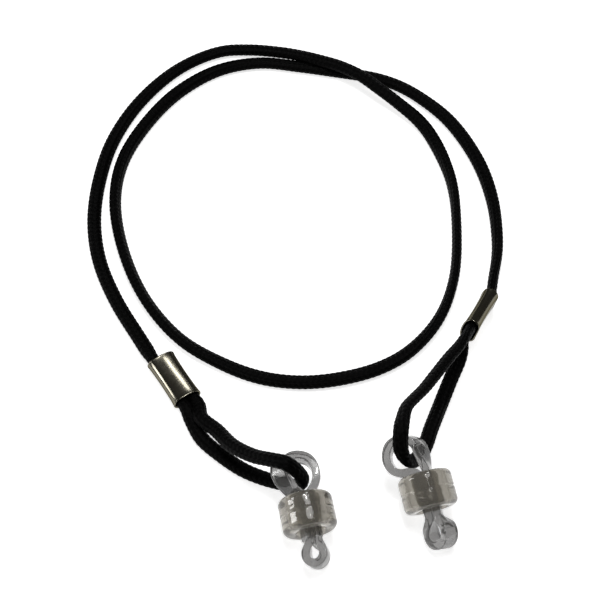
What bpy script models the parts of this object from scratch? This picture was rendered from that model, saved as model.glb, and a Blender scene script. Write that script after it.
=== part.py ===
"""Eyeglass retainer strap lying on a table.

One braided cord is doubled back at each end into a small loop that a flat-oval
crimp sleeve holds. Each cord loop is linked, like a chain link, to an elastic
grip band. A slider bead pinches the band into a figure of eight, and the free
lower loop of the band grips a spectacle temple.

Each end swings about the turn of its cord loop, and each bead slides along its band.
+Z is up, the table is at z = 0, and the origin is under the middle of the end fittings.
Lengths are in millimetres in the constants, and MM turns them into metres.
"""
import math

import bmesh
import bpy
from mathutils import Matrix, Vector

MM = 0.001
COLLECTION = "eyeglass_retainer_strap"

# Driving dimensions, in millimetres
CORD_RADIUS = 1.05            # round stand-in for a flattened 2.6 x 1.75 braid
CLAMPED_RADIUS = 0.78         # the cord squeezed inside a crimp sleeve
CORD_SPACING = 7.2            # between tube points where the cord runs straight
MOUTH_SPACING = 2.8           # between tube points inside the sleeves and at their mouths
TURN_SPACING = 34.0           # degrees of turn that call for one more tube point
CORD_FACE_GAP = 0.15          # between two cord pieces that meet inside a sleeve

CRIMP_LENGTH = 9.5
CRIMP_WIDTH = 5.0
CRIMP_THICKNESS = 2.6
CRIMP_WALL = 0.32
CRIMP_SEAM = 0.15             # open slit where the rolled sheet's edges face each other
LANE_OFFSET = 1.08            # from the sleeve's middle to each of its two cord lanes
STRAIGHT_OUT = 1.8            # the cord leaves each sleeve straight for this far
TAIL_SETBACK = 1.2            # the cut tail stays this far inside the sleeve

BAND_WIDTH = 2.8              # of the elastic strip, across the figure of eight
BAND_THICKNESS = 1.35
BAND_NECK_GAP = 0.2           # between the two strips where the bead pinches them
NECK_OFFSET = (BAND_THICKNESS + BAND_NECK_GAP) / 2
TWIST_WEIGHT = 0.001          # lets the smooth curve carry the twist without bending for it

BEAD_RADIUS = 4.5
BEAD_LENGTH = 6.0
BEAD_BORE_RADIUS = 2.2
BEAD_EDGE_ROUND = 1.0
BEAD_MOUTH_CHAMFER = 0.6
TURNED_STEPS = 40

# Where the two ends lie. Headings are measured from +X in the table's plane.
CRIMPS = {
    "left": {"centre": (-25.8, 9.95, 1.3), "heading": -58.0, "pitch": 0.0, "roll": 0.0},
    "right": {"centre": (27.5, 21.75, 3.75), "heading": -116.5, "pitch": 14.0, "roll": 81.0},
}
GRIPS = {
    "left": {"centre": (-2.8, -17.6), "heading": -78.5, "pitch": 9.0, "roll": -15.0},
    "right": {"centre": (16.8, -13.6), "heading": -75.5, "pitch": 18.0, "roll": 20.0},
}

# Centre lines of the bands: along the bead's axis and sideways from the bead's middle, and
# how far the strip is twisted about that axis, in degrees. The upper loop holds the cord.
UPPER_LOOPS = {
    "left": [(-4.2, -1.75, -15), (-5.4, -2.5, -32), (-7.0, -3.2, -40), (-8.6, -3.1, -35),
             (-9.7, -1.8, -15), (-9.95, 0.2, 0), (-9.3, 2.0, 12), (-7.9, 2.9, 20),
             (-6.2, 2.9, 20), (-4.7, 2.1, 10)],
    "right": [(-3.75, -1.95, 0), (-3.95, -3.3, 0), (-4.7, -4.5, 0), (-6.2, -5.1, 0),
              (-7.7, -4.9, 0), (-8.9, -4.0, 5), (-9.4, -2.6, 12), (-9.1, -1.0, 20),
              (-8.0, 0.35, 28), (-6.6, 0.68, 30), (-5.3, 0.75, 20), (-4.2, 0.76, 8)],
}
LOWER_LOOPS = {
    "left": [(5.2, 1.0, 16), (6.2, 1.4, 28), (7.2, 1.4, 32), (8.0, 0.9, 32), (8.35, 0.0, 32),
             (8.0, -0.9, 32), (7.2, -1.4, 32), (6.2, -1.4, 28), (5.2, -1.0, 16)],
    "right": [(5.2, 1.3, 16), (6.3, 2.2, 32), (7.4, 2.45, 38), (8.4, 1.9, 38),
              (8.95, 0.5, 38), (8.5, -1.0, 38), (7.5, -1.6, 38), (6.3, -1.5, 32),
              (5.2, -1.05, 16)],
}
NECK_TOP = -3.2
NECK_BOTTOM = 4.4

# The cord's route between the sleeves, on the table apart from one low hump where it
# passes over itself.
MAIN_ROUTE = [
    (-32.1, 18.3, 1.15), (-37.0, 26.8, 1.15), (-40.5, 35.4, 1.15), (-42.1, 44.4, 1.15),
    (-41.8, 53.9, 1.15), (-39.8, 63.7, 1.15), (-35.0, 73.8, 1.15), (-27.8, 82.2, 1.15),
    (-20.0, 86.6, 1.15), (-14.0, 87.0, 1.3), (-8.0, 86.0, 1.8), (-4.0, 84.7, 2.4),
    (0.0, 83.0, 3.0), (3.9, 81.1, 3.5), (7.8, 78.6, 3.6), (11.6, 75.2, 3.3),
    (15.0, 72.3, 2.5), (19.0, 68.3, 1.6), (21.6, 63.7, 1.15), (24.4, 53.9, 1.15),
    (24.9, 43.4, 1.15), (23.7, 31.0, 1.15), (20.5, 22.4, 1.15), (15.3, 16.0, 1.15),
    (9.9, 12.5, 1.15), (2.9, 10.3, 1.15), (-4.0, 9.6, 1.15), (-11.0, 10.6, 1.15),
    (-18.0, 13.6, 1.15), (-25.1, 18.4, 1.15), (-31.6, 26.7, 1.15), (-36.3, 37.7, 1.15),
    (-38.5, 49.3, 1.15), (-37.5, 58.9, 1.15), (-33.1, 68.7, 1.15), (-27.5, 76.2, 1.15),
    (-20.0, 81.7, 1.15), (-12.0, 83.6, 1.15), (-4.0, 82.6, 1.15), (4.0, 81.1, 1.15),
    (9.0, 80.1, 1.15), (12.0, 79.2, 1.15), (15.7, 77.4, 1.15), (19.5, 74.5, 1.15),
    (24.8, 68.7, 1.15), (29.7, 58.8, 1.15), (31.9, 49.2, 1.15), (32.2, 39.9, 1.15),
    (31.8, 35.9, 1.15), (30.9, 31.4, 1.15),
]

# Each end loop leaves its sleeve in the main lane, passes under its band, turns up
# through the band's upper loop and comes back over it into the tail lane.
LOOP_ROUTES = {
    "left": [
        (-22.5, 2.2, 1.15), (-20.6, -1.5, 1.15), (-17.5, -4.5, 1.15), (-13.6, -7.4, 1.15),
        (-10.2, -9.1, 1.35), (-7.1, -10.4, 1.95), (-4.6, -11.7, 3.3), (-3.4, -12.1, 5.8),
        (-4.5, -11.7, 8.6), (-6.4, -11.0, 10.0), (-8.8, -9.9, 9.1), (-11.6, -8.3, 7.4),
        (-15.2, -5.1, 5.1), (-18.1, -1.0, 3.0), (-20.8, 1.9, 2.2),
    ],
    "right": [
        (24.0, 14.1, 4.0), (23.4, 12.4, 3.4), (22.0, 9.4, 2.6), (20.2, 5.1, 1.9),
        (18.9, 1.5, 2.7), (17.9, -1.3, 3.3), (17.0, -4.1, 3.7), (15.9, -6.4, 4.0),
        (14.5, -7.9, 4.7), (13.35, -8.6, 6.9), (12.4, -7.9, 9.3), (12.4, -5.7, 10.9),
        (12.9, -2.75, 10.5), (13.6, -0.5, 9.9), (15.1, 1.7, 9.1), (16.7, 3.8, 8.4),
        (18.6, 6.7, 7.7), (21.4, 10.9, 7.0), (23.3, 13.5, 6.6),
    ],
}
SWING_AXES = {"left": (-3.4, -12.1), "right": (13.6, -8.45)}


def clear_scene():
    """Start from an empty scene."""
    for old in list(bpy.data.objects):
        bpy.data.objects.remove(old, do_unlink=True)


def make_material(name, colour, roughness, metallic, alpha=1.0):
    """Return a plain Principled material."""
    material = bpy.data.materials.new(name)
    material.use_nodes = True
    shader = material.node_tree.nodes["Principled BSDF"]
    shader.inputs["Base Color"].default_value = (*colour, 1.0)
    shader.inputs["Roughness"].default_value = roughness
    shader.inputs["Metallic"].default_value = metallic
    shader.inputs["Alpha"].default_value = alpha
    return material


def add_object(name, data, material, matrix=None, parent=None):
    """Put one named object in the part's collection."""
    obj = bpy.data.objects.new(name, data)
    bpy.data.collections[COLLECTION].objects.link(obj)
    if data is not None and material is not None:
        data.materials.append(material)
    if parent is not None:
        obj.parent = parent
    if matrix is not None:
        obj.matrix_local = matrix
    return obj


def smooth_curve(points, steps=12):
    """Return a dense centripetal Catmull-Rom curve through the given points."""
    points = [Vector(p) for p in points]
    first = points[0] * 2 - points[1]
    last = points[-1] * 2 - points[-2]
    padded = [first, *points, last]
    dense = []
    for p0, p1, p2, p3 in zip(padded, padded[1:], padded[2:], padded[3:]):
        t1 = math.sqrt((p1 - p0).length)
        t2 = t1 + math.sqrt((p2 - p1).length)
        t3 = t2 + math.sqrt((p3 - p2).length)
        for k in range(steps):
            t = t1 + (t2 - t1) * k / steps
            a1 = p0 * ((t1 - t) / t1) + p1 * (t / t1)
            a2 = p1 * ((t2 - t) / (t2 - t1)) + p2 * ((t - t1) / (t2 - t1))
            a3 = p2 * ((t3 - t) / (t3 - t2)) + p3 * ((t - t2) / (t3 - t2))
            b1 = a1 * ((t2 - t) / t2) + a2 * (t / t2)
            b2 = a2 * ((t3 - t) / (t3 - t1)) + a3 * ((t - t1) / (t3 - t1))
            dense.append(b1 * ((t2 - t) / (t2 - t1)) + b2 * ((t - t1) / (t2 - t1)))
    dense.append(points[-1])
    return dense


def read_off(dense):
    """Return tube points along a dense curve, closer together at turns and at its ends."""
    need = [0.0]
    for i in range(1, len(dense)):
        step = (dense[i] - dense[i - 1]).length
        turn = 0.0
        if i + 1 < len(dense):
            turn = (dense[i] - dense[i - 1]).angle(dense[i + 1] - dense[i], 0.0)
        clamp = min((dense[i] - dense[0]).length, (dense[i] - dense[-1]).length)
        spacing = MOUTH_SPACING if clamp < CRIMP_LENGTH else CORD_SPACING
        need.append(need[-1] + step / spacing + math.degrees(turn) / TURN_SPACING)
    count = round(need[-1])
    chosen = []
    at = 0
    for k in range(count + 1):
        goal = need[-1] * k / count
        while at < len(need) - 2 and need[at + 1] < goal:
            at += 1
        span = need[at + 1] - need[at]
        part = (goal - need[at]) / span if span > 0 else 0.0
        chosen.append(dense[at].lerp(dense[at + 1], min(max(part, 0.0), 1.0)))
    return chosen


def crimp_matrix(side):
    """Return a sleeve's frame: X across the lanes, Z from the strap to the loop."""
    crimp = CRIMPS[side]
    heading, pitch, roll = (math.radians(crimp[turn]) for turn in ("heading", "pitch", "roll"))
    across = Vector((-math.sin(heading), math.cos(heading), 0.0))
    along = Vector((math.cos(heading) * math.cos(pitch), math.sin(heading) * math.cos(pitch),
                    math.sin(pitch)))
    across = Matrix.Rotation(roll, 3, along) @ across
    thick = along.cross(across)
    frame = Matrix((across, thick, along)).transposed().to_4x4()
    frame.translation = Vector(crimp["centre"])
    return frame


def lane_point(side, lane, along):
    """Return a point on one cord lane of a sleeve: lane is -1 for main, 1 for tail."""
    return crimp_matrix(side) @ Vector((lane * LANE_OFFSET, 0.0, along))


def cord_tube(name, route, clamps, material):
    """Build one cord piece as a tube, thinner near the sleeves that clamp it."""
    points = read_off(smooth_curve(route))
    data = bpy.data.curves.new(name, "CURVE")
    data.dimensions = "3D"
    data.bevel_depth = CORD_RADIUS * MM
    data.bevel_resolution = 2
    data.use_fill_caps = True
    spline = data.splines.new("POLY")
    spline.points.add(len(points) - 1)
    thin = CLAMPED_RADIUS / CORD_RADIUS
    for knot, point in zip(spline.points, points):
        knot.co = (*(point * MM), 1.0)
        nearest = min((point - Vector(clamp)).length for clamp in clamps)
        ease = min(max((nearest - CRIMP_LENGTH / 2 - 0.6) / 2.0, 0.0), 1.0)
        knot.radius = thin + (1.0 - thin) * ease
    return add_object(name, data, material)


def arc(centre_x, centre_y, radius, start, end, count):
    """Return points on an arc, with angles in degrees."""
    points = []
    for k in range(count + 1):
        angle = math.radians(start + (end - start) * k / count)
        points.append((centre_x + radius * math.cos(angle),
                       centre_y + radius * math.sin(angle)))
    return points


def filled_outline(name, outlines, depth):
    """Return a 2D curve filled between its outlines, and extruded to a depth."""
    data = bpy.data.curves.new(name, "CURVE")
    data.dimensions = "2D"
    data.fill_mode = "BOTH"
    data.extrude = depth / 2 * MM
    for outline in outlines:
        spline = data.splines.new("POLY")
        spline.points.add(len(outline) - 1)
        spline.use_cyclic_u = True
        for knot, (x, y) in zip(spline.points, outline):
            knot.co = (x * MM, y * MM, 0.0, 1.0)
    return data


def crimp_outline():
    """Return a sleeve's section: a flat oval wall, open at a seam on its -X end."""
    outer = CRIMP_THICKNESS / 2
    inner = outer - CRIMP_WALL
    flat_half = (CRIMP_WIDTH - CRIMP_THICKNESS) / 2
    outer_slit = math.degrees(math.asin(CRIMP_SEAM / 2 / outer))
    inner_slit = math.degrees(math.asin(CRIMP_SEAM / 2 / inner))
    wall = arc(-flat_half, 0.0, outer, 180 + outer_slit, 270, 7)
    wall += arc(flat_half, 0.0, outer, -90, 90, 14)
    wall += arc(-flat_half, 0.0, outer, 90, 180 - outer_slit, 7)
    wall += arc(-flat_half, 0.0, inner, 180 - inner_slit, 90, 7)
    wall += arc(flat_half, 0.0, inner, 90, -90, 14)
    wall += arc(-flat_half, 0.0, inner, 270, 180 + inner_slit, 7)
    return wall


def crimp_sleeve(side, material):
    """Build one rolled crimp sleeve round its two cord lanes."""
    data = filled_outline(f"{side}_crimp_sleeve", [crimp_outline()], CRIMP_LENGTH)
    matrix = crimp_matrix(side)
    matrix.translation *= MM
    return add_object(f"{side}_crimp_sleeve", data, material, matrix)


def band_centre_line(side):
    """Return a band's closed centre line in its bead's frame, and the twist at each point.

    The lower loop turns bodily with its twist; in the upper loop only the strip twists.
    """
    inside = [NECK_TOP, -2.0, 0.0, 1.5, 3.0, NECK_BOTTOM]
    loop = [(1.5, NECK_OFFSET, 0), (3.0, NECK_OFFSET, 0), (NECK_BOTTOM, NECK_OFFSET, 0),
            *LOWER_LOOPS[side],
            *[(u, -NECK_OFFSET, 0) for u in reversed(inside)],
            *UPPER_LOOPS[side],
            *[(u, NECK_OFFSET, 0) for u in inside[:4]]]
    dense = smooth_curve([(u, s, twist * TWIST_WEIGHT) for u, s, twist in loop], steps=4)
    line = []
    twists = [math.radians(p.z / TWIST_WEIGHT) for p in dense[:-1]]
    for p, twist in zip(dense, twists):
        turn = twist if p.x > 0 else 0.0
        line.append(Vector((p.x, p.y * math.cos(turn), p.y * math.sin(turn))))
    return line, twists


def grip_band(side, material, parent):
    """Sweep one elastic band's flat strip round its centre line, in its bead's frame."""
    line, twists = band_centre_line(side)
    count = len(line)
    shape = bmesh.new()
    rings = []
    for i, (point, twist) in enumerate(zip(line, twists)):
        tangent = (line[(i + 1) % count] - line[i - 1]).normalized()
        across = Vector((0.0, -math.sin(twist), math.cos(twist)))
        across = (across - across.dot(tangent) * tangent).normalized()
        through = across.cross(tangent)
        corners = [point + through * (a * BAND_THICKNESS / 2) + across * (b * BAND_WIDTH / 2)
                   for a, b in ((1, 1), (-1, 1), (-1, -1), (1, -1))]
        rings.append([shape.verts.new(corner * MM) for corner in corners])
    for ring, after in zip(rings, rings[1:] + rings[:1]):
        for k in range(4):
            shape.faces.new((ring[k], ring[k - 1], after[k - 1], after[k]))
    bmesh.ops.recalc_face_normals(shape, faces=shape.faces)
    mesh = bpy.data.meshes.new(f"{side}_grip_band")
    shape.to_mesh(mesh)
    shape.free()
    return add_object(f"{side}_grip_band", mesh, material, Matrix(), parent)


def bead_profile():
    """Return a bead's half section as (radius, height), down its outside first."""
    half = BEAD_LENGTH / 2
    core = BEAD_RADIUS - BEAD_EDGE_ROUND
    edge = half - BEAD_EDGE_ROUND
    mouth = BEAD_BORE_RADIUS + BEAD_MOUTH_CHAMFER
    profile = arc(core, edge, BEAD_EDGE_ROUND, 90, 0, 5)
    profile += arc(core, -edge, BEAD_EDGE_ROUND, 0, -90, 5)
    profile += [(mouth, -half), (BEAD_BORE_RADIUS, -half + BEAD_MOUTH_CHAMFER)]
    profile += [(BEAD_BORE_RADIUS, half - BEAD_MOUTH_CHAMFER), (mouth, half)]
    return profile


def slider_bead(side, material, parent):
    """Turn one bead about its bore, and lay the bore along the band."""
    mesh = bpy.data.meshes.new(f"{side}_slider_bead")
    shape = bmesh.new()
    ring = [shape.verts.new((radius * MM, 0.0, height * MM))
            for radius, height in bead_profile()]
    for start, end in zip(ring, ring[1:] + ring[:1]):
        shape.edges.new((start, end))
    shape.to_mesh(mesh)
    shape.free()
    bead = add_object(f"{side}_slider_bead", mesh, material,
                      Matrix.Rotation(math.radians(90), 4, "Y"), parent)
    screw = bead.modifiers.new("turned", "SCREW")
    screw.axis = "Z"
    screw.steps = TURNED_STEPS
    screw.render_steps = TURNED_STEPS
    screw.use_merge_vertices = True
    screw.merge_threshold = 0.00001
    screw.use_smooth_shade = True
    return bead


def grip_matrix(side):
    """Return a bead's frame: X towards the lower loop, Z normal to the band's plane."""
    grip = GRIPS[side]
    heading = math.radians(grip["heading"])
    pitch = math.radians(grip["pitch"])
    roll = math.radians(grip["roll"])
    height = BEAD_RADIUS * math.cos(pitch) + BEAD_LENGTH / 2 * math.sin(pitch)
    height -= BEAD_EDGE_ROUND * (math.cos(pitch) + math.sin(pitch) - 1.0)
    turn = (Matrix.Rotation(heading, 4, "Z") @ Matrix.Rotation(pitch, 4, "Y")
            @ Matrix.Rotation(roll, 4, "X"))
    turn.translation = Vector((*grip["centre"], height))
    return turn


def build_end(side, cord, metal, rubber, plastic):
    """Build one end: its cord loop, sleeve, band and bead."""
    middle = tuple(crimp_matrix(side).translation)
    mouth = CRIMP_LENGTH / 2
    route = [lane_point(side, -1, CORD_FACE_GAP / 2), lane_point(side, -1, mouth / 2),
             lane_point(side, -1, mouth), lane_point(side, -1, mouth + STRAIGHT_OUT)]
    route += LOOP_ROUTES[side]
    route += [lane_point(side, 1, mouth + STRAIGHT_OUT), lane_point(side, 1, mouth),
              lane_point(side, 1, 0.0), lane_point(side, 1, TAIL_SETBACK - mouth)]
    cord_tube(f"{side}_cord_loop", route, [middle], cord)
    crimp_sleeve(side, metal)

    swing = Matrix.Translation(Vector((*SWING_AXES[side], 0.0)) * MM)
    swing_empty = add_object(f"{side}_swing_axis", None, None, swing)
    frame = grip_matrix(side)
    frame.translation *= MM
    grip_empty = add_object(f"{side}_grip_frame", None, None,
                            swing.inverted() @ frame, swing_empty)
    grip_band(side, rubber, grip_empty)
    slider_bead(side, plastic, grip_empty)


def build_main_run(cord):
    """Build the long run of cord from the left sleeve to the right one."""
    mouth = CRIMP_LENGTH / 2
    inside = [CORD_FACE_GAP / 2, mouth / 2, mouth, mouth + STRAIGHT_OUT]
    route = [lane_point("left", -1, -along) for along in inside]
    route += MAIN_ROUTE
    route += [lane_point("right", -1, -along) for along in reversed(inside)]
    clamps = [tuple(crimp_matrix(side).translation) for side in CRIMPS]
    cord_tube("cord_main_run", route, clamps, cord)


def main():
    clear_scene()
    collection = bpy.data.collections.new(COLLECTION)
    bpy.context.scene.collection.children.link(collection)
    cord = make_material("black_braid", (0.018, 0.018, 0.02), 0.75, 0.0)
    metal = make_material("nickel_crimp", (0.72, 0.70, 0.66), 0.2, 1.0)
    rubber = make_material("clear_elastomer", (0.62, 0.61, 0.59), 0.25, 0.0, 0.6)
    plastic = make_material("clear_plastic", (0.66, 0.65, 0.62), 0.15, 0.0, 0.6)
    build_main_run(cord)
    for side in CRIMPS:
        build_end(side, cord, metal, rubber, plastic)


main()
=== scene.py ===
"""Eyeglass retainer strap on a pale table.

One braided cord is doubled back at each end into a loop, and a rolled nickel sleeve holds
each loop closed. A clear elastic band hangs in each loop like a chain link, pinched into a
figure of eight by a clear slider bead.

Lengths are in millimetres in the constants, and MM turns them into metres.
"""
import math

import bpy
import numpy as np
from mathutils import Matrix, Vector

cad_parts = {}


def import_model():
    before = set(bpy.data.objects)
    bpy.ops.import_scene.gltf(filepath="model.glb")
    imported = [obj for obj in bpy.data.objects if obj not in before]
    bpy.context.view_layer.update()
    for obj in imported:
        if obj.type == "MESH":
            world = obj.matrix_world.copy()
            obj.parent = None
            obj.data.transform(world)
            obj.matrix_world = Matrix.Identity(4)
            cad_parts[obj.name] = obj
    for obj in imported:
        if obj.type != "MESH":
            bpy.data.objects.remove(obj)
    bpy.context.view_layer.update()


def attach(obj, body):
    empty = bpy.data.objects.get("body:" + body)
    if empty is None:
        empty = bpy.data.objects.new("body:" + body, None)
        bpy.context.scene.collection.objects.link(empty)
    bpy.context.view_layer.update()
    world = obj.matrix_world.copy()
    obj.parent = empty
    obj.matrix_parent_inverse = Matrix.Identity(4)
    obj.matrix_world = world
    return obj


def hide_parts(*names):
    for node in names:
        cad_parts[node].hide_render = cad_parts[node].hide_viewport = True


MM = 0.001

# Camera and table
CAMERA_AT = (-4.0, -133.4, 238.4)
CAMERA_TILT = 34.0            # degrees from looking straight down
CAMERA_LENS = 96.0
TABLE_SIZE = 3000.0
LIGHT_TARGET = (0.0, 30.0, 0.0)

# Cord: a flattened tubular braid
CORD_HALF_WIDTH = 1.3
CORD_HALF_THICKNESS = 0.875
CLAMPED_HALF_WIDTH = 1.05     # inside the sleeves, where two strands lie side by side
CLAMPED_HALF_THICKNESS = 0.88
CLAMP_EASE = 3.4              # length over which the braid opens out again
CORD_RING_STEP = 0.245
LEAN_BLEND = 1.5              # the braid's lean is smoothed over this far each way
CORD_COLUMNS = 12             # columns of stitches round the braid
COLUMN_POINTS = 4
STITCH_PITCH = 0.98           # length of one stitch along the braid
STITCH_SLANT = 0.55           # of a pitch, from one edge of a column to the other
STITCH_RELIEF = 0.11          # from the grooves between stitches to their crowns
TABLE_CLEARANCE = 0.07        # keeps the stitches out of the table
CAD_CORD_HEIGHT = 1.15        # centre of the plain round cord where it lies on the table
CROSSING_LIFT = 0.78          # the flattened braid passes over itself lower than a round cord
SETTLE_TOP = 2.6              # an end loop's cord higher than this keeps its CAD height,
SETTLE_SPAN = 1.4             # and this far below that it lies on the table
SOLID_CORD = ("cord_main_run", "left_cord_loop", "right_cord_loop")

# Crimp sleeves
CRIMP_LENGTH = 9.5
CRIMP_WIDTH = 5.0
CRIMP_THICKNESS = 2.6
CRIMP_WALL = 0.32
CRIMP_SEAM = 0.15             # open slit where the rolled sheet's edges face each other
CRIMP_FLARE = 0.14            # the mouths open out by this much
CRIMP_PINCH = 0.06            # and the middle is squeezed by this much
CRIMP_FLARE_REACH = 0.7       # how fast the flare dies away from a mouth
CRIMP_BULGE = 13.0            # half the turn of the bulging upper side, in degrees
CRIMP_RIM = 0.09              # rounding of the mouths' rims
CRIMP_STATIONS = 32           # steps along a sleeve, closer together at its mouths
CRIMP_SHARP_ANGLE = 50.0      # edges sharper than this stay hard in shading
LANE_OFFSET = 1.08            # from the sleeve's middle to each of its two cord lanes
STRAIGHT_OUT = 1.8            # the cord leaves each sleeve straight for this far
TAIL_SETBACK = 1.2            # the cut tail stays this far inside the sleeve

# Bands and beads
BAND_WIDTH = 2.8
BAND_THICKNESS = 1.35
BAND_CORNER = 0.22
BAND_NECK_GAP = 0.2           # between the two strips where the bead pinches them
NECK_OFFSET = (BAND_THICKNESS + BAND_NECK_GAP) / 2
TWIST_WEIGHT = 0.001          # lets the smooth curve carry the twist without bending for it
BEAD_RADIUS = 4.5
BEAD_LENGTH = 6.0
BEAD_BORE_RADIUS = 2.2
BEAD_EDGE_ROUND = 1.0
BEAD_EDGE_STEPS = 8
BEAD_MOUTH_CHAMFER = 0.6
PARTING_GROOVE = 0.11         # depth of the groove round the middle, where two moulds met
PARTING_HALF = 0.07           # half the groove's width at its floor
GATE_MARK = {"angle": 135.0, "ring": 0.42, "width": 0.15, "height": 0.06}
TURNED_STEPS = 128

# Where the two ends lie, as in the CAD
CRIMPS = {
    "left": {"centre": (-25.8, 9.95, 1.3), "heading": -58.0, "pitch": 0.0, "roll": 0.0},
    "right": {"centre": (27.5, 21.75, 3.75), "heading": -116.5, "pitch": 14.0, "roll": 81.0},
}
GRIPS = {
    "left": {"centre": (-2.8, -17.6), "heading": -78.5, "pitch": 9.0, "roll": -15.0},
    "right": {"centre": (16.8, -13.6), "heading": -75.5, "pitch": 18.0, "roll": 20.0},
}
# Bands: along the bead's axis and sideways from its middle, and the strip's twist in degrees
UPPER_LOOPS = {
    "left": [(-4.2, -1.75, -15), (-5.4, -2.5, -32), (-7.0, -3.2, -40), (-8.6, -3.1, -35),
             (-9.7, -1.8, -15), (-9.95, 0.2, 0), (-9.3, 2.0, 12), (-7.9, 2.9, 20),
             (-6.2, 2.9, 20), (-4.7, 2.1, 10)],
    "right": [(-3.75, -1.95, 0), (-3.95, -3.3, 0), (-4.7, -4.5, 0), (-6.2, -5.1, 0),
              (-7.7, -4.9, 0), (-8.9, -4.0, 5), (-9.4, -2.6, 12), (-9.1, -1.0, 20),
              (-8.0, 0.35, 28), (-6.6, 0.68, 30), (-5.3, 0.75, 20), (-4.2, 0.76, 8)],
}
LOWER_LOOPS = {
    "left": [(5.2, 1.0, 16), (6.2, 1.4, 28), (7.2, 1.4, 32), (8.0, 0.9, 32), (8.35, 0.0, 32),
             (8.0, -0.9, 32), (7.2, -1.4, 32), (6.2, -1.4, 28), (5.2, -1.0, 16)],
    "right": [(5.2, 1.3, 16), (6.3, 2.2, 32), (7.4, 2.45, 38), (8.4, 1.9, 38),
              (8.95, 0.5, 38), (8.5, -1.0, 38), (7.5, -1.6, 38), (6.3, -1.5, 32),
              (5.2, -1.05, 16)],
}
NECK_TOP = -3.2
NECK_BOTTOM = 4.4

# Cord routes: x, y, z, and how far the braid's flat side leans from level, in degrees
MAIN_ROUTE = [
    (-32.1, 18.3, 1.15, 0), (-37.0, 26.8, 1.15, 0), (-40.5, 35.4, 1.15, 10),
    (-42.1, 44.4, 1.15, 15), (-41.8, 53.9, 1.15, 15), (-39.8, 63.7, 1.15, 10),
    (-35.0, 73.8, 1.15, 5), (-27.8, 82.2, 1.15, 0), (-20.0, 86.6, 1.15, 0),
    (-14.0, 87.0, 1.3, 0), (-8.0, 86.0, 1.8, 0), (-4.0, 84.7, 2.4, 0),
    (0.0, 83.0, 3.0, 0), (3.9, 81.1, 3.5, 0), (7.8, 78.6, 3.6, 0),
    (11.6, 75.2, 3.3, 0), (15.0, 72.3, 2.5, 0), (19.0, 68.3, 1.6, 10),
    (21.6, 63.7, 1.15, 30), (24.4, 53.9, 1.15, 65), (24.9, 43.4, 1.15, 85),
    (23.7, 31.0, 1.15, 75), (20.5, 22.4, 1.15, 45), (15.3, 16.0, 1.15, 15),
    (9.9, 12.5, 1.15, 5), (2.9, 10.3, 1.15, 0), (-4.0, 9.6, 1.15, 0),
    (-11.0, 10.6, 1.15, 0), (-18.0, 13.6, 1.15, 10), (-25.1, 18.4, 1.15, 30),
    (-31.6, 26.7, 1.15, 45), (-36.3, 37.7, 1.15, 50), (-38.5, 49.3, 1.15, 50),
    (-37.5, 58.9, 1.15, 45), (-33.1, 68.7, 1.15, 35), (-27.5, 76.2, 1.15, 20),
    (-20.0, 81.7, 1.15, 10), (-12.0, 83.6, 1.15, 0), (-4.0, 82.6, 1.15, 0),
    (4.0, 81.1, 1.15, 0), (9.0, 80.1, 1.15, 0), (12.0, 79.2, 1.15, 0),
    (15.7, 77.4, 1.15, 0), (19.5, 74.5, 1.15, 0), (24.8, 68.7, 1.15, 10),
    (29.7, 58.8, 1.15, 30), (31.9, 49.2, 1.15, 45), (32.2, 39.9, 1.15, 60),
    (31.8, 35.9, 1.15, 65), (30.9, 31.4, 1.15, 75),
]
LOOP_ROUTES = {
    "left": [
        (-22.5, 2.2, 1.15, 0), (-20.6, -1.5, 1.15, 0), (-17.5, -4.5, 1.15, 0),
        (-13.6, -7.4, 1.15, 0), (-10.2, -9.1, 1.35, 0), (-7.1, -10.4, 1.95, 0),
        (-4.6, -11.7, 3.3, 0), (-3.4, -12.1, 5.8, 0), (-4.5, -11.7, 8.6, 0),
        (-6.4, -11.0, 10.0, 0), (-8.8, -9.9, 9.1, 0), (-11.6, -8.3, 7.4, 0),
        (-15.2, -5.1, 5.1, 0), (-18.1, -1.0, 3.0, 0), (-20.8, 1.9, 2.2, 0),
    ],
    "right": [
        (24.0, 14.1, 4.0, 35), (23.4, 12.4, 3.4, 15), (22.0, 9.4, 2.6, 0),
        (20.2, 5.1, 1.9, 0), (18.9, 1.5, 2.7, 0), (17.9, -1.3, 3.3, 0),
        (17.0, -4.1, 3.7, 0), (15.9, -6.4, 4.0, 0), (14.5, -7.9, 4.7, 0),
        (13.35, -8.6, 6.9, 0), (12.4, -7.9, 9.3, 0), (12.4, -5.7, 10.9, 0),
        (12.9, -2.75, 10.5, -35), (13.6, -0.5, 9.9, -45), (15.1, 1.7, 9.1, -45),
        (16.7, 3.8, 8.4, -45), (18.6, 6.7, 7.7, -40), (21.4, 10.9, 7.0, -40),
        (23.3, 13.5, 6.6, -45),
    ],
}


# ---------------------------------------------------------------- shader helpers

def new_material(name):
    """Return a node material, its tree, its Principled shader and a node maker."""
    material = bpy.data.materials.new(name)
    material.use_nodes = True
    tree = material.node_tree
    shader = tree.nodes["Principled BSDF"]

    def add(kind, inputs=(), **settings):
        node = tree.nodes.new(kind)
        for key, value in settings.items():
            setattr(node, key, value)
        for key, value in dict(inputs).items():
            if isinstance(value, bpy.types.NodeSocket):
                tree.links.new(value, node.inputs[key])
            else:
                node.inputs[key].default_value = value
        return node

    return material, tree, shader, add


def colour_mix(add, factor, dark, light):
    """Return a colour socket between two colours."""
    mix = add("ShaderNodeMix", {0: factor, 6: (*dark, 1.0), 7: (*light, 1.0)},
              data_type="RGBA")
    return mix.outputs[2]


def map_range(add, value, low, high):
    """Return a value socket spread from 0..1 to low..high."""
    node = add("ShaderNodeMapRange", {"Value": value, "To Min": low, "To Max": high})
    return node.outputs["Result"]


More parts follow.
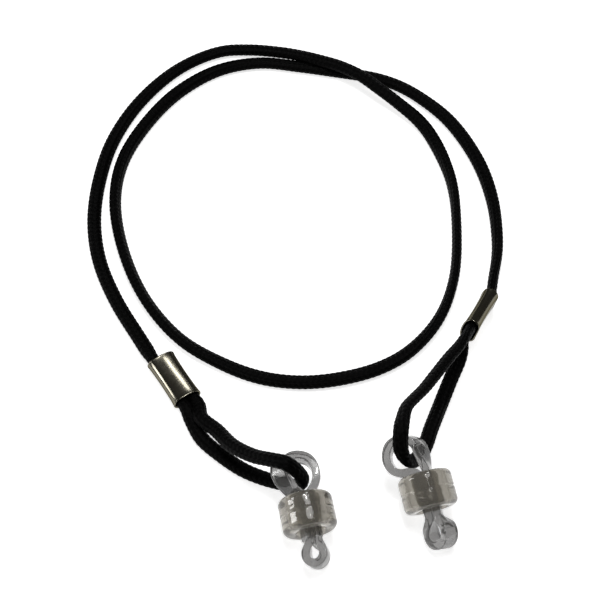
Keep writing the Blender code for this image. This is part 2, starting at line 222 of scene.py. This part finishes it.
def braid_material():
    """Black nylon braid: chevrons of stitches, with fine filaments along each one, and painted
    shade darkening the grooves between the stitches.
    """
    material, tree, shader, add = new_material("black_braid")
    uv = add("ShaderNodeUVMap", uv_map="braid")
    parts = add("ShaderNodeSeparateXYZ", {0: uv.outputs["UV"]})
    column, stitch = parts.outputs["X"], parts.outputs["Y"]
    zigzag = add("ShaderNodeMath", {0: column, 1: 1.0}, operation="PINGPONG")
    phase = add("ShaderNodeMath", {0: zigzag.outputs[0], 1: STITCH_SLANT, 2: stitch},
                operation="MULTIPLY_ADD")

    def ripple(count):
        turn = add("ShaderNodeMath", {0: phase.outputs[0], 1: count * 2 * math.pi},
                   operation="MULTIPLY")
        wave = add("ShaderNodeMath", {0: turn.outputs[0]}, operation="COSINE")
        return add("ShaderNodeMath", {0: wave.outputs[0], 1: 0.5, 2: 0.5},
                   operation="MULTIPLY_ADD").outputs[0]

    stitch_top = ripple(1)
    filament = ripple(6)
    place = add("ShaderNodeTexCoord").outputs["Object"]
    lint = add("ShaderNodeTexNoise", {"Vector": place, "Scale": 900.0, "Detail": 3.0})
    worn = add("ShaderNodeTexNoise", {"Vector": place, "Scale": 60.0, "Detail": 2.0})
    # Painted shade: the base colour is darker in the grooves between stitches and lighter on their
    # crowns, mottled at random by the worn noise.
    groove_shade_and_wear = add("ShaderNodeMath", {0: stitch_top, 1: worn.outputs["Fac"]}, operation="MULTIPLY")
    tree.links.new(colour_mix(add, groove_shade_and_wear.outputs[0], (0.0002, 0.0002, 0.0003),
                              (0.0034, 0.0033, 0.0031)), shader.inputs["Base Color"])
    tree.links.new(map_range(add, lint.outputs["Fac"], 0.36, 0.6), shader.inputs["Roughness"])
    shader.inputs["Specular IOR Level"].default_value = 0.045
    shader.inputs["Sheen Weight"].default_value = 0.002
    shader.inputs["Sheen Roughness"].default_value = 0.4
    height = add("ShaderNodeMath", {0: filament, 1: 0.35, 2: stitch_top}, operation="MULTIPLY_ADD")
    fuzz = add("ShaderNodeMath", {0: lint.outputs["Fac"], 1: 0.5, 2: height.outputs[0]},
               operation="MULTIPLY_ADD")
    bump = add("ShaderNodeBump", {"Strength": 0.9, "Distance": 0.05 * MM,
                                  "Height": fuzz.outputs[0]})
    tree.links.new(bump.outputs["Normal"], shader.inputs["Normal"])
    return material


def nickel_material():
    """Polished nickel sheet with shallow dents, fine marks and a slight haze."""
    material, tree, shader, add = new_material("nickel_crimp")
    place = add("ShaderNodeTexCoord").outputs["Object"]
    marks = add("ShaderNodeTexNoise", {"Vector": place, "Scale": 1500.0, "Detail": 3.0})
    dents = add("ShaderNodeTexNoise", {"Vector": place, "Scale": 420.0, "Detail": 2.0})
    tree.links.new(colour_mix(add, dents.outputs["Fac"], (0.13, 0.122, 0.094),
                              (0.21, 0.198, 0.162)), shader.inputs["Base Color"])
    shader.inputs["Metallic"].default_value = 1.0
    shader.inputs["Specular Tint"].default_value = (0.32, 0.31, 0.27, 1.0)
    tree.links.new(map_range(add, marks.outputs["Fac"], 0.15, 0.23),
                   shader.inputs["Roughness"])
    height = add("ShaderNodeMath", {0: dents.outputs["Fac"], 1: 6.0, 2: marks.outputs["Fac"]},
                 operation="MULTIPLY_ADD")
    bump = add("ShaderNodeBump", {"Strength": 0.06, "Distance": 0.02 * MM,
                                  "Height": height.outputs[0]})
    tree.links.new(bump.outputs["Normal"], shader.inputs["Normal"])
    return material


def clear_material(name, thin, dense, roughness, ior, wave_scale, wave_height):
    """A see-through plastic or rubber with flow marks and a little uneven colour."""
    material, tree, shader, add = new_material(name)
    place = add("ShaderNodeTexCoord").outputs["Object"]
    cloud = add("ShaderNodeTexNoise", {"Vector": place, "Scale": 260.0, "Detail": 2.0})
    flow = add("ShaderNodeTexNoise", {"Vector": place, "Scale": wave_scale, "Detail": 2.0,
                                      "Distortion": 0.6})
    tree.links.new(colour_mix(add, cloud.outputs["Fac"], thin, dense),
                   shader.inputs["Base Color"])
    tree.links.new(map_range(add, cloud.outputs["Fac"], *roughness),
                   shader.inputs["Roughness"])
    shader.inputs["IOR"].default_value = ior
    shader.inputs["Transmission Weight"].default_value = 0.76
    bump = add("ShaderNodeBump", {"Strength": 0.5, "Distance": wave_height * MM,
                                  "Height": flow.outputs["Fac"]})
    tree.links.new(bump.outputs["Normal"], shader.inputs["Normal"])
    return material


def table_material():
    """A plain near-white table top."""
    material, _, shader, _ = new_material("pale_table")
    shader.inputs["Base Color"].default_value = (0.9, 0.9, 0.9, 1.0)
    shader.inputs["Roughness"].default_value = 0.9
    shader.inputs["Emission Color"].default_value = (1.0, 1.0, 1.0, 1.0)
    shader.inputs["Emission Strength"].default_value = 0.75
    return material


# ---------------------------------------------------------------- geometry helpers

def add_mesh(name, verts, faces, material, body, replaced):
    """Make a smooth mesh piece in metres, hang it on its body and hide the CAD it replaces."""
    mesh = bpy.data.meshes.new(name)
    mesh.from_pydata([tuple(v) for v in verts], [], faces)
    mesh.validate()
    mesh.materials.append(material)
    mesh.shade_smooth()
    obj = bpy.data.objects.new(name, mesh)
    bpy.context.scene.collection.objects.link(obj)
    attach(obj, body)
    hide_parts(*replaced)
    return obj


def wrapped_faces(count, ring):
    """Return the quads between rings of points, where the last ring meets the first."""
    faces = []
    for i in range(count):
        j = (i + 1) % count
        for k in range(ring):
            m = (k + 1) % ring
            faces.append((i * ring + k, i * ring + m, j * ring + m, j * ring + k))
    return faces


def smooth_curve(points, steps=12):
    """Return a dense Catmull-Rom curve, and where each point lies among the route's points.

    It is centripetal, so it neither overshoots nor loops between uneven points.
    """
    points = [Vector(p) for p in points]
    first = points[0] * 2 - points[1]
    last = points[-1] * 2 - points[-2]
    padded = [first, *points, last]
    dense, place = [], []
    for i, (p0, p1, p2, p3) in enumerate(zip(padded, padded[1:], padded[2:], padded[3:])):
        t1 = math.sqrt((p1 - p0).length)
        t2 = t1 + math.sqrt((p2 - p1).length)
        t3 = t2 + math.sqrt((p3 - p2).length)
        for k in range(steps):
            t = t1 + (t2 - t1) * k / steps
            a1 = p0 * ((t1 - t) / t1) + p1 * (t / t1)
            a2 = p1 * ((t2 - t) / (t2 - t1)) + p2 * ((t - t1) / (t2 - t1))
            a3 = p2 * ((t3 - t) / (t3 - t2)) + p3 * ((t - t2) / (t3 - t2))
            b1 = a1 * ((t2 - t) / t2) + a2 * (t / t2)
            b2 = a2 * ((t3 - t) / (t3 - t1)) + a3 * ((t - t1) / (t3 - t1))
            dense.append(b1 * ((t2 - t) / (t2 - t1)) + b2 * ((t - t1) / (t2 - t1)))
            place.append(i + k / steps)
    dense.append(points[-1])
    place.append(len(points) - 1)
    return np.array([tuple(p) for p in dense]), np.array(place)


def travel(points):
    """Return the distance along a line of points to each of them."""
    steps = np.linalg.norm(np.diff(points, axis=0), axis=1)
    return np.concatenate([[0.0], np.cumsum(steps)])


def unit(vectors):
    """Return vectors scaled to length one."""
    return vectors / np.linalg.norm(vectors, axis=1, keepdims=True)


def crimp_matrix(side):
    """Return a sleeve's frame: X across the lanes, Z from the strap to the loop."""
    crimp = CRIMPS[side]
    heading, pitch, roll = (math.radians(crimp[turn]) for turn in ("heading", "pitch", "roll"))
    across = Vector((-math.sin(heading), math.cos(heading), 0.0))
    along = Vector((math.cos(heading) * math.cos(pitch), math.sin(heading) * math.cos(pitch),
                    math.sin(pitch)))
    across = Matrix.Rotation(roll, 3, along) @ across
    thick = along.cross(across)
    frame = Matrix((across, thick, along)).transposed().to_4x4()
    frame.translation = Vector(crimp["centre"])
    return frame


def grip_matrix(side):
    """Return a bead's frame: X towards the lower loop, Z normal to the band's plane."""
    grip = GRIPS[side]
    heading = math.radians(grip["heading"])
    pitch = math.radians(grip["pitch"])
    roll = math.radians(grip["roll"])
    height = BEAD_RADIUS * math.cos(pitch) + BEAD_LENGTH / 2 * math.sin(pitch)
    height -= BEAD_EDGE_ROUND * (math.cos(pitch) + math.sin(pitch) - 1.0)
    turn = (Matrix.Rotation(heading, 4, "Z") @ Matrix.Rotation(pitch, 4, "Y")
            @ Matrix.Rotation(roll, 4, "X"))
    turn.translation = Vector((*grip["centre"], height))
    return turn


# ---------------------------------------------------------------- cord

def lane_point(side, lane, along, tilt):
    """Return a route point on one lane of a sleeve: lane is -1 for main, 1 for tail."""
    point = crimp_matrix(side) @ Vector((lane * LANE_OFFSET, 0.0, along))
    return (*point, tilt)


def resting_height(tilt):
    """Return the braid's centre height on the table when it leans by tilt degrees."""
    lean = np.radians(tilt)
    reach = np.hypot(CORD_HALF_WIDTH * np.sin(lean), CORD_HALF_THICKNESS * np.cos(lean))
    return reach + TABLE_CLEARANCE


def end_route(side):
    """Return one end loop's route from the middle of its sleeve to the cut tail."""
    mouth = CRIMP_LENGTH / 2
    roll = CRIMPS[side]["roll"]
    out = [lane_point(side, -1, along, roll)
           for along in (0.0, mouth / 2, mouth, mouth + STRAIGHT_OUT)]
    back = [lane_point(side, 1, along, -roll)
            for along in (mouth + STRAIGHT_OUT, mouth, 0.0, TAIL_SETBACK - mouth)]
    middle = []
    for x, y, z, tilt in LOOP_ROUTES[side]:
        near_table = min(max((SETTLE_TOP - z) / SETTLE_SPAN, 0.0), 1.0)
        settle = near_table * (CAD_CORD_HEIGHT - resting_height(tilt))
        middle.append((x, y, z - settle, tilt))
    return out + middle + back


def whole_route():
    """Return the cord's route from the left tail to the right one."""
    mouth = CRIMP_LENGTH / 2
    leaving = [lane_point("left", -1, -along, 0.0)
               for along in (mouth / 2, mouth, mouth + STRAIGHT_OUT)]
    middle = []
    for x, y, z, tilt in MAIN_ROUTE:
        lift = CROSSING_LIFT * (z - CAD_CORD_HEIGHT)
        middle.append((x, y, resting_height(tilt) + lift, tilt))
    entering = [lane_point("right", -1, -along, CRIMPS["right"]["roll"])
                for along in (mouth + STRAIGHT_OUT, mouth, mouth / 2)]
    return end_route("left")[::-1] + leaving + middle + entering + end_route("right")


def cord_line():
    """Return the cord's evenly spaced centre points, and the lean and distance at each."""
    route = whole_route()
    dense, place = smooth_curve([p[:3] for p in route])
    along = travel(dense)
    count = int(along[-1] / CORD_RING_STEP)
    even = np.linspace(0.0, along[-1], count + 1)
    points = np.stack([np.interp(even, along, dense[:, k]) for k in range(3)], axis=1)
    lean = np.interp(np.interp(even, along, place), np.arange(len(route)),
                     [p[3] for p in route])
    return points, lean, even


def width_directions(points, lean):
    """Return the direction of the braid's width at each point, without sudden turns."""
    tangent = unit(np.gradient(points, axis=0))
    up = np.array([0.0, 0.0, 1.0])
    sideways = np.cross(up, tangent)
    sideways[:, 2] = 0.0
    sideways = unit(sideways + 1e-9)
    radians = np.radians(lean)[:, None]
    wide = np.cos(radians) * sideways + np.sin(radians) * up
    for i in range(1, len(wide)):
        if wide[i] @ wide[i - 1] < 0:
            wide[i] = -wide[i]
    reach = int(LEAN_BLEND / CORD_RING_STEP)
    kernel = np.ones(2 * reach + 1) / (2 * reach + 1)
    padded = np.pad(wide, ((reach, reach), (0, 0)), mode="edge")
    wide = np.stack([np.convolve(padded[:, k], kernel, "valid") for k in range(3)], axis=1)
    wide -= (wide * tangent).sum(axis=1, keepdims=True) * tangent
    return unit(wide), tangent


def clamp_ease(points):
    """Return 0 inside the sleeves rising to 1 where the braid is free."""
    ease = np.ones(len(points))
    for side in CRIMPS:
        frame = crimp_matrix(side)
        local = (points - np.array(frame.translation)) @ np.array(frame.to_3x3())
        beyond = np.abs(local[:, 2]) - CRIMP_LENGTH / 2
        beside = np.hypot(local[:, 0], local[:, 1]) < CRIMP_WIDTH
        near = np.clip(beyond / CLAMP_EASE, 0.0, 1.0)
        ease = np.where(beside, np.minimum(ease, near * near * (3 - 2 * near)), ease)
    return ease


def make_cord(material):
    """Build the braid as one closed tube whose surface carries the stitches."""
    points, lean, along = cord_line()
    wide, tangent = width_directions(points, lean)
    flat = np.cross(tangent, wide)
    ease = clamp_ease(points)
    half_width = CLAMPED_HALF_WIDTH + (CORD_HALF_WIDTH - CLAMPED_HALF_WIDTH) * ease
    half_thick = (CLAMPED_HALF_THICKNESS
                  + (CORD_HALF_THICKNESS - CLAMPED_HALF_THICKNESS) * ease)
    around = CORD_COLUMNS * COLUMN_POINTS
    column = np.arange(around) / COLUMN_POINTS
    angle = 2 * math.pi * column / CORD_COLUMNS
    zigzag = np.abs(np.mod(column + 1.0, 2.0) - 1.0)
    stitch = along / STITCH_PITCH
    wave = 0.5 + 0.5 * np.cos(2 * math.pi * (stitch[:, None] + STITCH_SLANT * zigzag))
    crown = np.sin(math.pi * np.mod(column, 1.0))
    relief = STITCH_RELIEF * (0.4 * crown + 0.6 * crown * wave - 0.55)
    across = (half_width[:, None] + relief) * np.cos(angle)
    through = (half_thick[:, None] + relief) * np.sin(angle)
    ring = (points[:, None, :] + across[:, :, None] * wide[:, None, :]
            + through[:, :, None] * flat[:, None, :])
    rings = len(points)
    verts = np.concatenate([ring.reshape(-1, 3), points[:1], points[-1:]]) * MM
    grid = np.arange(rings * around).reshape(rings, around)
    near, far = grid[:-1], grid[1:]
    turned = np.roll(near, -1, axis=1), np.roll(far, -1, axis=1)
    faces = np.stack([near, turned[0], turned[1], far], axis=2).reshape(-1, 4).tolist()
    start, end = rings * around, rings * around + 1
    for k in range(around):
        nxt = (k + 1) % around
        faces.append([start, int(grid[0, nxt]), int(grid[0, k])])
        faces.append([end, int(grid[-1, k]), int(grid[-1, nxt])])
    cord = add_mesh("strap_cord", verts, faces, material, "strap", SOLID_CORD)
    layer = cord.data.uv_layers.new(name="braid")
    columns = np.concatenate([np.tile(column, rings), [0.0, 0.0]])
    stitches = np.concatenate([np.repeat(stitch, around), [stitch[0], stitch[-1]]])
    corners = np.empty(len(cord.data.loops), dtype=np.int64)
    cord.data.loops.foreach_get("vertex_index", corners)
    u, v = columns[corners], stitches[corners]
    quads = (rings - 1) * around * 4
    wraps = u[:quads].reshape(-1, 4)
    wraps[(wraps.max(axis=1) - wraps.min(axis=1) > 2)[:, None] & (wraps < 1)] += CORD_COLUMNS
    layer.data.foreach_set("uv", np.stack([u, v], axis=1).ravel())


# ---------------------------------------------------------------- fittings

def crimp_section():
    """Return the flat oval's middle line and outward normals, open at its seam.

    The underside is flat, and the upper side bulges in one even curve from end to end.
    The bends stop a degree short of the bulge, so that no point comes twice.
    """
    flat_half = (CRIMP_WIDTH - CRIMP_THICKNESS) / 2
    radius = (CRIMP_THICKNESS - CRIMP_WALL) / 2
    slit = math.degrees(math.asin(CRIMP_SEAM / 2 / radius))
    bulge_radius = flat_half / math.sin(math.radians(CRIMP_BULGE)) + radius
    bulge_centre = (radius - bulge_radius) * math.cos(math.radians(CRIMP_BULGE))
    line = []

    def bend(x, y, size, start, end, steps):
        for k in range(steps + 1):
            angle = math.radians(start + (end - start) * k / steps)
            nx, ny = math.cos(angle), math.sin(angle)
            line.append((x + size * nx, y + size * ny, nx, ny))

    bend(-flat_half, 0.0, radius, 180 + slit, 270, 10)
    for k in range(1, 6):
        line.append((-flat_half + 2 * flat_half * k / 6, -radius, 0.0, -1.0))
    bend(flat_half, 0.0, radius, -90, 89 - CRIMP_BULGE, 18)
    bend(0.0, bulge_centre, bulge_radius, 90 - CRIMP_BULGE, 90 + CRIMP_BULGE, 16)
    bend(-flat_half, 0.0, radius, 91 + CRIMP_BULGE, 180 - slit, 10)
    return line


def make_sleeve(side, material):
    """Roll one nickel sleeve, with flared mouths and rounded rims."""
    section = crimp_section()
    half = CRIMP_LENGTH / 2
    wall = CRIMP_WALL / 2
    stations = []
    for k in range(CRIMP_STATIONS + 1):
        z = half * math.cos(math.pi * k / CRIMP_STATIONS)
        over_rim = min(max((abs(z) - (half - CRIMP_RIM)) / CRIMP_RIM, 0.0), 1.0)
        stations.append((z, wall - CRIMP_RIM * (1 - math.cos(over_rim * math.pi / 2))))
    frame = crimp_matrix(side)
    verts = []
    for z, reach in stations:
        mouth = math.exp(-(half - abs(z)) / CRIMP_FLARE_REACH)
        shift = CRIMP_FLARE * mouth - CRIMP_PINCH * math.cos(z / half * math.pi / 2) ** 2
        for sign in (1, -1):
            for x, y, nx, ny in section:
                move = shift + sign * reach
                verts.append(frame @ Vector((x + nx * move, y + ny * move, z)) * MM)
    count = len(section)
    rows = [(2 * k * count, (2 * k + 1) * count) for k in range(len(stations))]
    faces = []
    for (outer, inner), (outer2, inner2) in zip(rows, rows[1:]):
        for i in range(count - 1):
            faces.append((outer + i, outer2 + i, outer2 + i + 1, outer + i + 1))
            faces.append((inner + i + 1, inner2 + i + 1, inner2 + i, inner + i))
        faces.append((outer, inner, inner2, outer2))
        faces.append((inner + count - 1, outer + count - 1, outer2 + count - 1,
                      inner2 + count - 1))
    for (outer, inner), flip in ((rows[0], False), (rows[-1], True)):
        for i in range(count - 1):
            face = (outer + i, outer + i + 1, inner + i + 1, inner + i)
            faces.append(face[::-1] if flip else face)
    sleeve = add_mesh(f"{side}_rolled_sleeve", verts, faces, material, "strap",
                      (f"{side}_crimp_sleeve",))
    sleeve.data.set_sharp_from_angle(angle=math.radians(CRIMP_SHARP_ANGLE))


def band_line(side):
    """Return a band's closed centre line in its bead's frame, and the twist at each point.

    The lower loop turns bodily with its twist; in the upper loop only the strip twists.
    """
    inside = [NECK_TOP, -2.0, 0.0, 1.5, 3.0, NECK_BOTTOM]
    loop = [(1.5, NECK_OFFSET, 0), (3.0, NECK_OFFSET, 0), (NECK_BOTTOM, NECK_OFFSET, 0),
            *LOWER_LOOPS[side],
            *[(u, -NECK_OFFSET, 0) for u in reversed(inside)],
            *UPPER_LOOPS[side],
            *[(u, NECK_OFFSET, 0) for u in inside[:4]]]
    dense, _ = smooth_curve([(u, s, twist * TWIST_WEIGHT) for u, s, twist in loop], steps=8)
    u, s, twist = dense[:-1].T
    twist = np.radians(twist / TWIST_WEIGHT)
    turn = np.where(u > 0, twist, 0.0)
    return np.stack([u, s * np.cos(turn), s * np.sin(turn)], axis=1), twist


def strip_section():
    """Return a rounded rectangle as (through, across) points."""
    half_thick = BAND_THICKNESS / 2 - BAND_CORNER
    half_wide = BAND_WIDTH / 2 - BAND_CORNER
    section = []
    for cx, cy, start in ((1, 1, 0), (-1, 1, 90), (-1, -1, 180), (1, -1, 270)):
        for k in range(5):
            angle = math.radians(start + 22.5 * k)
            section.append((cx * half_thick + BAND_CORNER * math.cos(angle),
                            cy * half_wide + BAND_CORNER * math.sin(angle)))
    return section


def make_band(side, material):
    """Sweep one endless elastic band through its bead."""
    line, twist = band_line(side)
    section = strip_section()
    tangent = unit(np.roll(line, -1, axis=0) - np.roll(line, 1, axis=0))
    across = np.stack([np.zeros(len(line)), -np.sin(twist), np.cos(twist)], axis=1)
    across = unit(across - (across * tangent).sum(axis=1, keepdims=True) * tangent)
    through = np.cross(across, tangent)
    frame = grip_matrix(side)
    verts = []
    for point, out, wide in zip(line, through, across):
        for a, b in section:
            verts.append(frame @ Vector(point + a * out + b * wide) * MM)
    add_mesh(f"{side}_elastic_band", verts, wrapped_faces(len(line), len(section)), material,
             f"{side}_band", (f"{side}_grip_band",))


def bead_profile():
    """Return a bead's closed half section as (radius, height), from its bore's top outwards.

    The side's heights close in on the parting groove, so that the gate mark has points to show.
    """
    half = BEAD_LENGTH / 2
    core = BEAD_RADIUS - BEAD_EDGE_ROUND
    upper = [(BEAD_BORE_RADIUS, half - BEAD_MOUTH_CHAMFER),
             (BEAD_BORE_RADIUS + BEAD_MOUTH_CHAMFER / 4, half - BEAD_MOUTH_CHAMFER / 2),
             (BEAD_BORE_RADIUS + BEAD_MOUTH_CHAMFER, half)]
    for k in range(BEAD_EDGE_STEPS + 1):
        angle = math.radians(90 - 90 * k / BEAD_EDGE_STEPS)
        upper.append((core + BEAD_EDGE_ROUND * math.cos(angle),
                      half - BEAD_EDGE_ROUND + BEAD_EDGE_ROUND * math.sin(angle)))
    for height in (1.6, 1.2, 0.95, 0.75, 0.6, 0.45, 0.32, 0.2):
        upper.append((BEAD_RADIUS, height))
    upper.append((BEAD_RADIUS - PARTING_GROOVE, PARTING_HALF))
    return upper + [(radius, -height) for radius, height in reversed(upper)]


def make_bead(side, material):
    """Turn one slider bead about its bore, with the mould's ring-shaped gate mark on it."""
    profile = bead_profile()
    frame = grip_matrix(side) @ Matrix.Rotation(math.radians(90), 4, "Y")
    verts = []
    for i in range(TURNED_STEPS):
        angle = 2 * math.pi * i / TURNED_STEPS
        arc = BEAD_RADIUS * (angle - math.radians(GATE_MARK["angle"]))
        for radius, height in profile:
            if radius > BEAD_RADIUS - 0.01:
                off_ring = (math.hypot(arc, height) - GATE_MARK["ring"]) / GATE_MARK["width"]
                radius += GATE_MARK["height"] * math.exp(-off_ring * off_ring)
            spot = Vector((radius * math.cos(angle), radius * math.sin(angle), height))
            verts.append(frame @ spot * MM)
    add_mesh(f"{side}_barrel_bead", verts, wrapped_faces(TURNED_STEPS, len(profile)), material,
             f"{side}_bead", (f"{side}_slider_bead",))


# ---------------------------------------------------------------- camera, table, lights

def make_camera():
    """Look down at the strap from in front."""
    data = bpy.data.cameras.new("camera")
    data.lens = CAMERA_LENS
    data.sensor_width = 36.0
    data.clip_start = 0.001
    camera = bpy.data.objects.new("camera", data)
    camera.location = Vector(CAMERA_AT) * MM
    camera.rotation_euler = (math.radians(CAMERA_TILT), 0.0, 0.0)
    bpy.context.scene.collection.objects.link(camera)
    bpy.context.scene.camera = camera


def make_table():
    """Lay a plain pale table under everything."""
    half = TABLE_SIZE / 2 * MM
    mesh = bpy.data.meshes.new("table")
    mesh.from_pydata([(-half, -half, 0), (half, -half, 0), (half, half, 0), (-half, half, 0)],
                     [], [(0, 1, 2, 3)])
    mesh.materials.append(table_material())
    table = bpy.data.objects.new("table", mesh)
    bpy.context.scene.collection.objects.link(table)


def area_light(name, at, size, power):
    """Add a rectangular soft light, placed in metres and aimed at the middle of the strap."""
    data = bpy.data.lights.new(name, "AREA")
    data.shape = "RECTANGLE"
    data.size, data.size_y = size
    data.energy = power
    light = bpy.data.objects.new(name, data)
    light.location = at
    aim = Vector(LIGHT_TARGET) * MM - light.location
    light.rotation_euler = aim.to_track_quat("-Z", "Y").to_euler()
    bpy.context.scene.collection.objects.link(light)


def make_lights():
    """Light the strap softly: the back box for the sleeves' streaks, the spark for glints."""
    area_light("back_box", (0.02, 0.40, 0.52), (0.06, 0.2), 0.55)
    area_light("bead_spark", (-0.02, 0.12, 0.6), (0.05, 0.05), 0.5)
    area_light("overhead", (0.04, 0.06, 0.7), (0.34, 0.24), 1.3)
    area_light("left_fill", (-0.6, 0.0, 0.3), (0.1, 0.3), 1.0)


def make_room():
    """Surround the strap with a dim, warm grey room."""
    world = bpy.data.worlds.new("room")
    world.use_nodes = True
    world.node_tree.nodes["Background"].inputs["Color"].default_value = (0.62, 0.6, 0.57, 1.0)
    world.node_tree.nodes["Background"].inputs["Strength"].default_value = 0.12
    bpy.context.scene.world = world
    bpy.context.scene.view_settings.view_transform = "Standard"
    bpy.context.scene.view_settings.look = "None"


def main():
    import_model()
    make_camera()
    make_cord(braid_material())
    nickel = nickel_material()
    elastomer = clear_material("clear_elastomer", (0.46, 0.455, 0.45), (0.24, 0.238, 0.236),
                               (0.05, 0.16), 1.46, 600.0, 0.12)
    plastic = clear_material("clear_plastic", (0.52, 0.49, 0.42), (0.30, 0.285, 0.262),
                             (0.03, 0.12), 1.5, 380.0, 0.22)
    for side in CRIMPS:
        make_sleeve(side, nickel)
        make_band(side, elastomer)
        make_bead(side, plastic)
    make_table()
    make_lights()
    make_room()


main()
